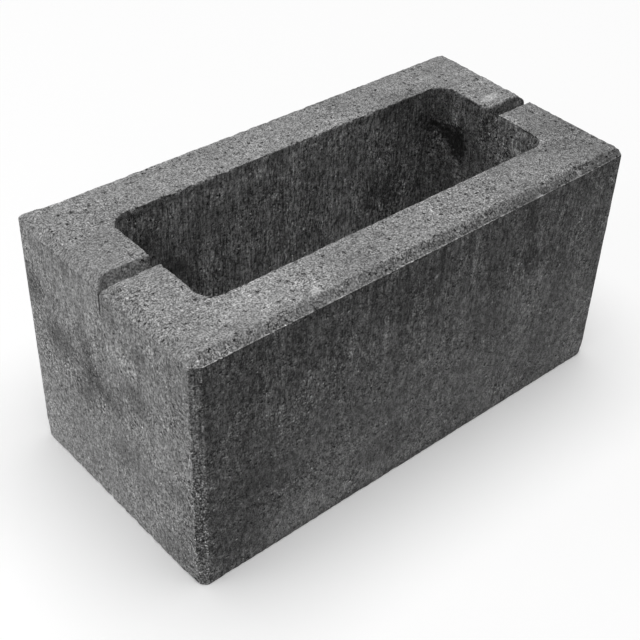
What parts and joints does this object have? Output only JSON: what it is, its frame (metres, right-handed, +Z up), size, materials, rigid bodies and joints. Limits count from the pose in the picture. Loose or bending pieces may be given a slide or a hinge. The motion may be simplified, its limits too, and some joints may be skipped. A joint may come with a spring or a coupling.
{
  "type": "concrete block",
  "caption": "Hollow concrete building block with a large open core, thick walls, a chamfered top bed and a V groove across the end walls; stacks into walls and pillars.",
  "frame": {"origin": "centre of the bottom bed, on the floor that the block stands on", "axes": "+X along the block's length, +Y across its width, +Z up towards the chamfered, grooved bed"},
  "size_m": [0.4, 0.198, 0.2],
  "materials": {
    "concrete": "matte, open-grained pressed concrete with drag marks on the upright faces"
  },
  "bodies": {
    "root": {"block": "concrete"}
  },
  "joints": []
}
